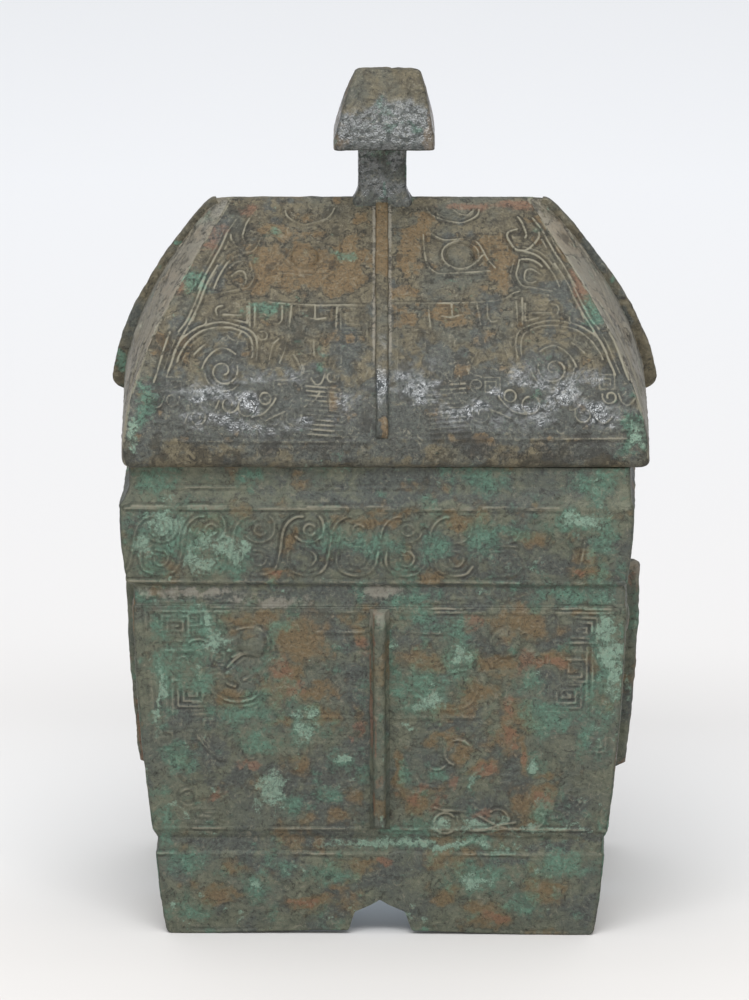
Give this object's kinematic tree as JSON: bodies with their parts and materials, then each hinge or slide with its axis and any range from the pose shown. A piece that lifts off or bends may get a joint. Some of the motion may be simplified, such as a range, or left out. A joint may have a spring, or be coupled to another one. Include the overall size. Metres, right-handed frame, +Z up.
{
  "type": "bronze fangyi vessel",
  "caption": "Rectangular ritual bronze wine vessel on a notched foot, with a hipped lift-off lid, roof-shaped knob and upright flanges.",
  "frame": {"origin": "on the standing plane, under the middle of the whole vessel", "axes": "+Z up through the knob, +X along the long side to the right, -Y out of the front face"},
  "size_m": [0.1746, 0.1392, 0.2743],
  "materials": {
    "bronze_body": "green and grey corroded patina",
    "bronze_lid": "brown and slate patina, lightly burnished"
  },
  "bodies": {
    "root": {"vessel_body": "bronze_body", "lid": "bronze_lid"}
  },
  "joints": []
}
